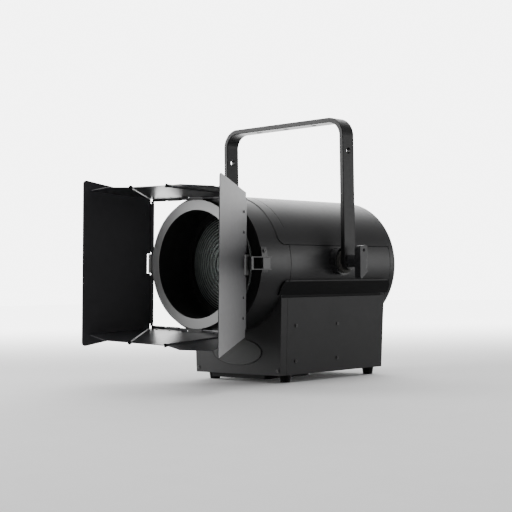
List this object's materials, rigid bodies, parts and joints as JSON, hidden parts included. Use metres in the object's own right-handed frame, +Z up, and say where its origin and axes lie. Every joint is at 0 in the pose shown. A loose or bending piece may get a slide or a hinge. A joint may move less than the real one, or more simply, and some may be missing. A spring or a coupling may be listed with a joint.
{
  "type": "fresnel spotlight",
  "caption": "Fresnel stage spotlight: cylindrical barrel on a tapered base housing, tilting yoke with clamp knobs, stepped lens and a rotating barndoor with folding leaves and flaps.",
  "frame": {"origin": "on the plane of symmetry, midway between the barndoor's front edge and the rear cover's screws, at the level of the feet's undersides", "axes": "+Z up from the feet to the yoke's crossbar, -Y along the beam, +X along the tilt axis"},
  "size_m": [0.419, 0.646, 0.5556],
  "materials": {
    "satin_black": "satin black powder coat",
    "panel_black": "fine matt black powder coat",
    "leaf_black": "smooth satin black",
    "ring_grey": "smooth satin black, bright at grazing angles",
    "rod_steel": "plain steel",
    "screw_steel": "blackened steel",
    "glass": "clear pressed glass with stepped rings",
    "inner_black": "matt black",
    "rubber": "matt rubber",
    "friction_fibre": "pressed fibre",
    "knob_plastic": "fine-grained moulded plastic",
    "badge": "satin dark grey, blank",
    "display": "gloss dark window",
    "port_plastic": "moulded plastic",
    "motor_black": "painted case",
    "bronze": "plain",
    "aluminium": "plain",
    "board_green": "circuit board"
  },
  "bodies": {
    "housing": {"front_bezel": "satin_black", "top_cover": "satin_black", "body_shell": "satin_black", "rear_cover": "satin_black", "cradle": "satin_black", "pivot_bosses": "satin_black", "accessory_clips": "satin_black", "latch_bracket": "satin_black", "base_front_panel": "panel_black", "base_side_right": "panel_black", "base_side_left": "panel_black", "base_rear_panel": "panel_black", "base_floor": "panel_black", "under_plate": "panel_black", "guide_rods": "rod_steel", "housing_screws": "screw_steel", "lens": "glass", "lens_retainer": "inner_black", "front_bulkhead": "inner_black", "rear_bulkhead": "inner_black", "feet": "rubber", "friction_discs": "friction_fibre", "badge_plate": "badge", "display_window": "display", "power_ports": "port_plastic", "data_input": "port_plastic", "data_output": "port_plastic", "fan_frame": "port_plastic", "focus_motor": "motor_black", "power_supply": "motor_black", "control_board": "board_green", "driver_board": "board_green"},
    "carriage": {"focus_carriage": "inner_black", "carriage_bushes": "bronze", "carriage_nut": "bronze", "heat_sink": "aluminium", "led_module": "aluminium", "reflector": "aluminium"},
    "screw": {"lead_screw": "rod_steel"},
    "fan": {"fan_rotor": "port_plastic"},
    "yoke": {"yoke": "satin_black"},
    "knob_right": {"clamp_knob_right": "knob_plastic"},
    "knob_left": {"clamp_knob_left": "knob_plastic"},
    "latch": {"latch_lever": "satin_black"},
    "barndoor": {"barndoor_frame": "ring_grey", "hinge_rods": "rod_steel"},
    "door_right": {"leaf_right": "leaf_black"},
    "door_left": {"leaf_left": "leaf_black"},
    "door_top": {"leaf_top": "leaf_black", "leaf_top_pins": "rod_steel"},
    "door_bottom": {"leaf_bottom": "leaf_black", "leaf_bottom_pins": "rod_steel"},
    "flap_top_right": {"flap_top_right": "leaf_black"},
    "flap_top_left": {"flap_top_left": "leaf_black"},
    "flap_bottom_right": {"flap_bottom_right": "leaf_black"},
    "flap_bottom_left": {"flap_bottom_left": "leaf_black"},
    "button_1": {"button_1": "knob_plastic"},
    "button_2": {"button_2": "knob_plastic"},
    "button_3": {"button_3": "knob_plastic"},
    "button_4": {"button_4": "knob_plastic"}
  },
  "joints": [
    {"name": "yoke_tilt", "type": "hinge", "parent": "housing", "child": "yoke", "pos_m": [0, 0.10917, 0.25], "axis": [1, 0, 0], "range_deg": [-100, 45]},
    {"name": "knob_right_turn", "type": "hinge", "parent": "yoke", "child": "knob_right", "pos_m": [0.195, 0.10917, 0.25], "axis": [1, 0, 0], "continuous": true},
    {"name": "knob_left_turn", "type": "hinge", "parent": "yoke", "child": "knob_left", "pos_m": [-0.195, 0.10917, 0.25], "axis": [-1, 0, 0], "continuous": true},
    {"name": "latch_lift", "type": "hinge", "parent": "housing", "child": "latch", "pos_m": [0, -0.11883, 0.399], "axis": [-1, 0, 0], "range_deg": [0, 50], "stiffness_Nm_per_rad": 0.35, "springref_deg": -17.19},
    {"name": "barndoor_turn", "type": "hinge", "parent": "housing", "child": "barndoor", "pos_m": [0, -0.15283, 0.246], "axis": [0, 1, 0], "continuous": true},
    {"name": "leaf_top_fold", "type": "hinge", "parent": "barndoor", "child": "door_top", "pos_m": [0.00409, -0.17283, 0.37994], "axis": [0.9995, 0, -0.0305], "range_deg": [-83, 24]},
    {"name": "leaf_bottom_fold", "type": "hinge", "parent": "barndoor", "child": "door_bottom", "pos_m": [-0.00409, -0.17283, 0.11206], "axis": [-0.9995, 0, 0.0305], "range_deg": [-81, 24]},
    {"name": "leaf_right_fold", "type": "hinge", "parent": "barndoor", "child": "door_right", "pos_m": [0.13394, -0.17283, 0.24191], "axis": [-0.0305, 0, -0.9995], "range_deg": [-66, 4.5]},
    {"name": "leaf_left_fold", "type": "hinge", "parent": "barndoor", "child": "door_left", "pos_m": [-0.13394, -0.17283, 0.25009], "axis": [0.0305, 0, 0.9995], "range_deg": [-68, 1.2]},
    {"name": "flap_top_right_fold", "type": "hinge", "parent": "door_top", "child": "flap_top_right", "pos_m": [0.1411, -0.17657, 0.37821], "axis": [0.5429, 0.8317, -0.1158], "range_deg": [-40, 95]},
    {"name": "flap_top_left_fold", "type": "hinge", "parent": "door_top", "child": "flap_top_left", "pos_m": [-0.13277, -0.17657, 0.38658], "axis": [0.549, -0.8317, 0.0825], "range_deg": [-40, 95]},
    {"name": "flap_bottom_right_fold", "type": "hinge", "parent": "door_bottom", "child": "flap_bottom_right", "pos_m": [0.13276, -0.17649, 0.1053], "axis": [-0.5498, -0.828, -0.11], "range_deg": [-40, 95]},
    {"name": "flap_bottom_left_fold", "type": "hinge", "parent": "door_bottom", "child": "flap_bottom_left", "pos_m": [-0.14111, -0.17649, 0.11367], "axis": [-0.5421, 0.828, 0.1433], "range_deg": [-40, 95]},
    {"name": "focus_slide", "type": "slide", "parent": "housing", "child": "carriage", "axis": [0, 1, 0], "range_m": [-0.075, 0.09]},
    {"name": "screw_turn", "type": "hinge", "parent": "housing", "child": "screw", "pos_m": [0, 0.06717, 0.138], "axis": [0, 1, 0], "range_deg": [-3400, 4080]},
    {"name": "fan_turn", "type": "hinge", "parent": "housing", "child": "fan", "pos_m": [0, 0.27917, 0.246], "axis": [0, 1, 0], "continuous": true},
    {"name": "button_1_press", "type": "slide", "parent": "housing", "child": "button_1", "axis": [0, -1, 0], "range_m": [0, 0.0015], "stiffness_N_per_m": 400, "springref_m": -0.001},
    {"name": "button_2_press", "type": "slide", "parent": "housing", "child": "button_2", "axis": [0, -1, 0], "range_m": [0, 0.0015], "stiffness_N_per_m": 400, "springref_m": -0.001},
    {"name": "button_3_press", "type": "slide", "parent": "housing", "child": "button_3", "axis": [0, -1, 0], "range_m": [0, 0.0015], "stiffness_N_per_m": 400, "springref_m": -0.001},
    {"name": "button_4_press", "type": "slide", "parent": "housing", "child": "button_4", "axis": [0, -1, 0], "range_m": [0, 0.0015], "stiffness_N_per_m": 400, "springref_m": -0.001}
  ],
  "couplings": [
    {"joint": "screw_turn", "follows": "focus_slide", "rad_per_m": 785.4}
  ]
}
